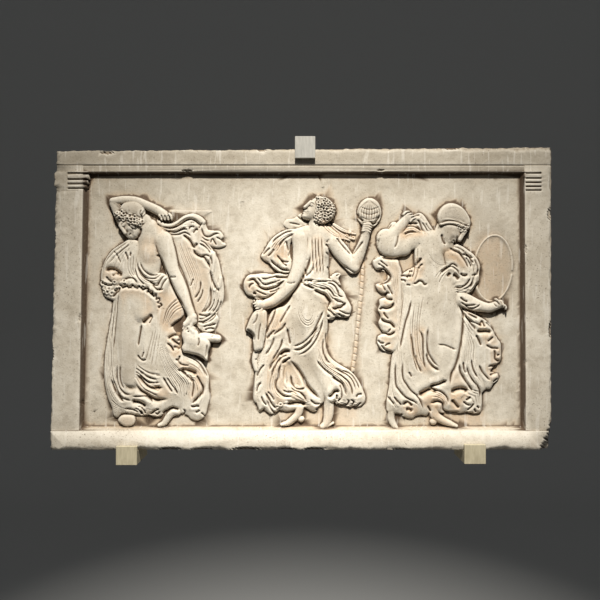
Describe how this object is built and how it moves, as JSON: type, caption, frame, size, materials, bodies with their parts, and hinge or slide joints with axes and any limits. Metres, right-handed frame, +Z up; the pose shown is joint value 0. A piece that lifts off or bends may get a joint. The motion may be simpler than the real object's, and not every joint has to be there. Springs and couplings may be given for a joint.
{
  "type": "marble relief plaque",
  "caption": "Rectangular marble slab with a plain pilaster frame and dancing women carved in low relief, held on a wall by painted metal brackets below and a clip above.",
  "frame": {"origin": "on the wall plane, in the middle of the slab's flat back", "axes": "+X to the viewer's right along the slab, +Y into the wall, +Z up"},
  "size_m": [0.9906, 0.1034, 0.6447],
  "materials": {
    "marble": "weathered, matt, with brown patina in the hollows",
    "lower_bracket_paint": "brushed satin paint",
    "top_clip_paint": "brushed satin paint"
  },
  "bodies": {
    "root": {"relief_slab": "marble", "lower_bracket_left": "lower_bracket_paint", "lower_bracket_right": "lower_bracket_paint", "top_clip": "top_clip_paint"}
  },
  "joints": []
}
